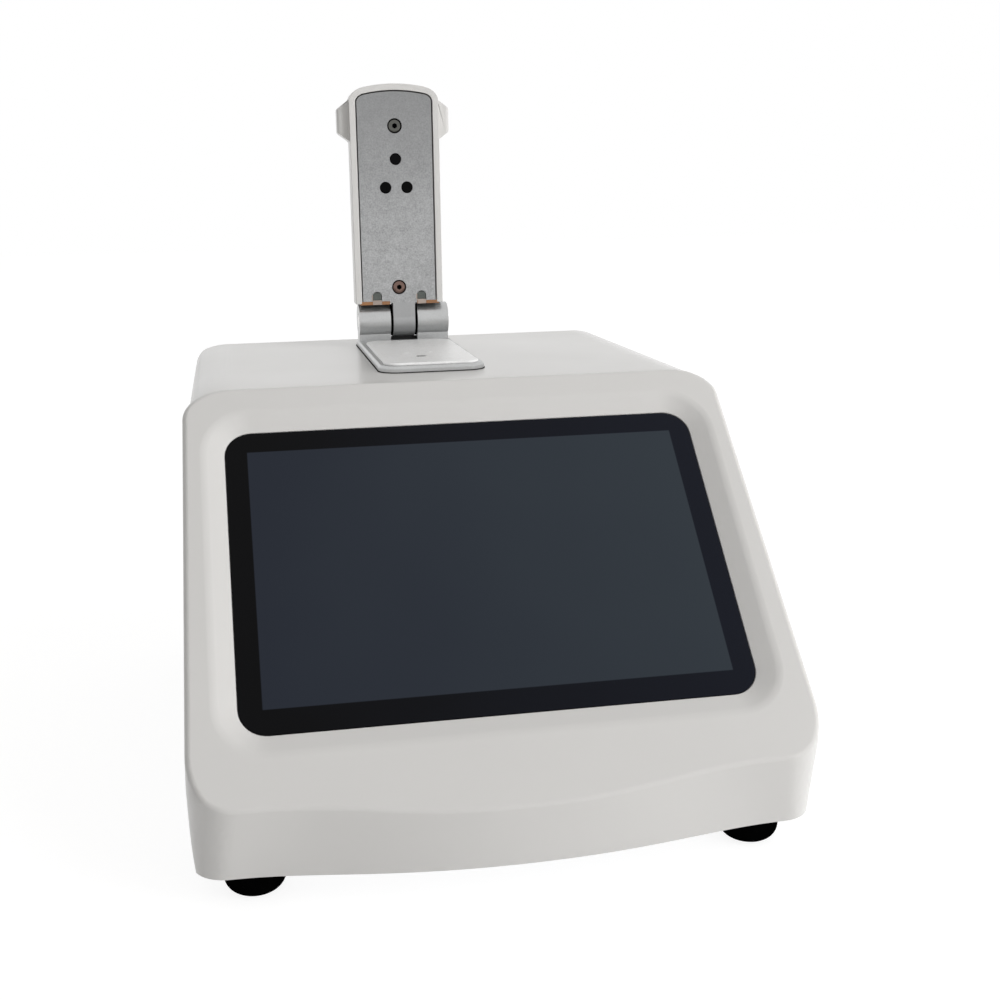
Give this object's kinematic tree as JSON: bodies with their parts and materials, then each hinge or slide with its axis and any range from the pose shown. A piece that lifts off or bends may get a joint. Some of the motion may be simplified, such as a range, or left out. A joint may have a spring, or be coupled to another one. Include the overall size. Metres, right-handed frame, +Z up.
{
  "type": "micro-volume spectrophotometer",
  "caption": "Bench instrument with a touch screen on its sloped front and a hinged measuring arm that closes on a pedestal on the deck.",
  "frame": {"origin": "on the floor, under the middle of the instrument's bounding box", "axes": "+X to the right as seen by the user, +Y to the back, +Z up"},
  "size_m": [0.2858, 0.371, 0.3643],
  "materials": {
    "gloss_white": "gloss warm white",
    "rubber_black": "matt black",
    "dark_glass": "polished black",
    "display": "dark slate",
    "blasted_silver": "fine blasted",
    "steel": "bright",
    "brass": "plain",
    "sheet_metal": "plated sheet",
    "circuit_board": "solder mask",
    "black_plastic": "fine matt",
    "cast_metal": "as cast",
    "fibre_sheath": "matt sheath",
    "foam": "matt foam"
  },
  "bodies": {
    "housing": {"front_cover": "gloss_white", "rear_cover": "gloss_white", "base_tray": "sheet_metal", "rear_panel": "sheet_metal", "foot_front_left": "rubber_black", "foot_front_right": "rubber_black", "foot_rear_left": "rubber_black", "foot_rear_right": "rubber_black", "foot_screws": "steel", "tray_screws": "steel", "panel_screws": "steel", "screen_glass": "dark_glass", "glass_gasket": "foam", "lcd_panel": "display", "display_bracket": "sheet_metal", "tablet_board": "circuit_board", "heat_spreader": "cast_metal", "switch_body": "black_plastic", "dc_inlet": "black_plastic", "usb_port_left": "steel", "usb_port_right": "steel", "foot_plate": "blasted_silver", "plate_screws": "steel", "sample_plate": "blasted_silver", "pedestal_bush": "brass", "path_motor": "black_plastic", "drive_cage": "sheet_metal", "hinge_knuckle_left": "blasted_silver", "hinge_knuckle_right": "blasted_silver", "hinge_bush_left": "brass", "hinge_bush_right": "brass", "hinge_pin": "steel", "optical_bench": "cast_metal", "bench_cover": "cast_metal", "grating": "dark_glass", "detector_board": "circuit_board", "measuring_fibre": "fibre_sheath", "fibre_ferrule": "steel", "flash_lamp": "cast_metal", "board_standoffs": "brass", "control_board": "circuit_board"},
    "arm": {"arm_cover": "gloss_white", "arm_plate": "blasted_silver", "hinge_leaf": "brass", "arm_screws": "steel", "upper_window": "dark_glass", "rest_bumpers": "rubber_black", "fibre_block": "black_plastic"},
    "pedestal": {"lower_pedestal": "steel", "pedestal_carriage": "cast_metal"},
    "drive_screw": {"path_screw": "steel"},
    "rocker": {"switch_rocker": "black_plastic"}
  },
  "joints": [
    {"name": "arm_hinge", "type": "hinge", "parent": "housing", "child": "arm", "pos_m": [-0.0058, 0.13519, 0.22148], "axis": [1, 0, 0], "range_deg": [0, 90]},
    {"name": "screw_turn", "type": "hinge", "parent": "housing", "child": "drive_screw", "pos_m": [0.0035, 0.03669, 0.15368], "axis": [0, 0, 1], "range_deg": [0, 504.5]},
    {"name": "pedestal_lift", "type": "slide", "parent": "housing", "child": "pedestal", "axis": [0, 0, 1], "range_m": [0, 0.0007]},
    {"name": "rocker_tilt", "type": "hinge", "parent": "housing", "child": "rocker", "pos_m": [-0.058, 0.1801, 0.067], "axis": [0, 0, 1], "range_deg": [-18, 0]}
  ],
  "couplings": [
    {"joint": "screw_turn", "follows": "pedestal_lift", "rad_per_m": 12566}
  ]
}
